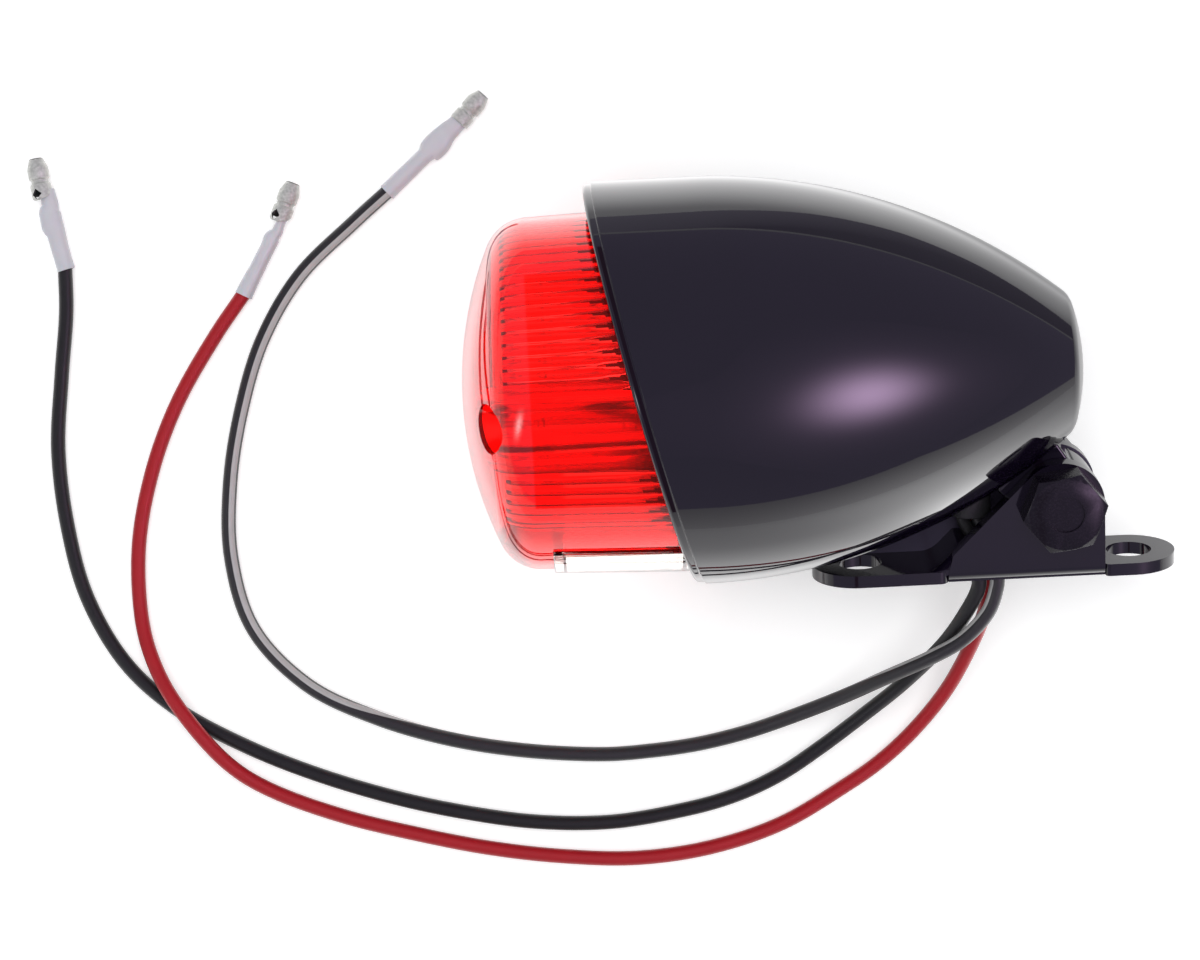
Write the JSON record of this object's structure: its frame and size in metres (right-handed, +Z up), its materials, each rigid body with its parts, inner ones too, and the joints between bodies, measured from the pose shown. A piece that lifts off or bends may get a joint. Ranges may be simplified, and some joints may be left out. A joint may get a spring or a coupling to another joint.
{
  "type": "motorcycle tail light",
  "caption": "Bullet-shaped black motorcycle tail light with a red fluted lens, clear plate window, hinged foot bracket and free wires with bullet terminals.",
  "frame": {"origin": "on the surface that the lamp lies on, under the middle of the lamp and its bracket, the free wires left out", "axes": "+X along the lamp's own axis from the lens to the nose, +Z up from the surface, +Y towards the lamp's own top; the lamp lies on its side, rolled 17 degrees about X"},
  "size_m": [0.2047, 0.1443, 0.0714],
  "materials": {
    "housing_black": "gloss black paint, slightly violet in the light",
    "bracket_black": "gloss black paint",
    "bolt_black": "black painted steel",
    "lens_red": "clear red moulded plastic",
    "window_clear": "clear moulded plastic",
    "rubber_black": "matt black rubber",
    "reflector_bright": "bright pressed sheet",
    "socket_plated": "zinc plated steel",
    "steel": "bright zinc plated steel",
    "carrier_brown": "brown laminate",
    "brass": "bare brass",
    "bulb_glass": "clear glass",
    "tungsten": "grey wire",
    "pvc_black": "soft satin plastic insulation",
    "pvc_striped": "black insulation with one grey stripe along it",
    "pvc_red": "soft satin plastic insulation",
    "pvc_leads": "insulated leads in the three wire colours",
    "sleeve_clear": "milky translucent plastic, faintly lavender",
    "terminal_tinned": "tinned, slightly dull"
  },
  "bodies": {
    "bracket_body": {"joint_leads": "pvc_leads", "bracket": "bracket_black", "bracket_grommet": "rubber_black", "hinge_bolt": "bolt_black", "hinge_nut": "bolt_black", "spring_washer": "bolt_black", "wire_black": "pvc_black", "wire_striped": "pvc_striped", "wire_red": "pvc_red", "sleeve_black": "sleeve_clear", "sleeve_striped": "sleeve_clear", "sleeve_red": "sleeve_clear", "terminal_black": "terminal_tinned", "terminal_striped": "terminal_tinned", "terminal_red": "terminal_tinned"},
    "lamp_head": {"housing_shell": "housing_black", "lens": "lens_red", "plate_window": "window_clear", "lens_gasket": "rubber_black", "reflector": "reflector_bright", "bulb_socket": "socket_plated", "socket_rivets": "steel", "contact_spring": "steel", "bulb_base": "brass", "bulb_glass": "bulb_glass", "bulb_stem": "bulb_glass", "bulb_filaments": "tungsten", "lens_screws": "steel", "housing_grommet": "rubber_black", "inner_leads": "pvc_leads"},
    "bulb_contacts": {"contact_carrier": "carrier_brown", "contact_pins": "brass"}
  },
  "joints": [
    {"name": "head_tilt", "type": "hinge", "parent": "bracket_body", "child": "lamp_head", "pos_m": [0.0415, -0.02154, 0.02877], "axis": [0, 0.2924, -0.9563], "range_deg": [0, 45], "deforming": ["joint_leads"]},
    {"name": "contact_travel", "type": "slide", "parent": "lamp_head", "child": "bulb_contacts", "axis": [1, 0, 0], "range_m": [0, 0.0025], "stiffness_N_per_m": 800, "springref_m": -0.003, "deforming": ["contact_spring"]}
  ]
}
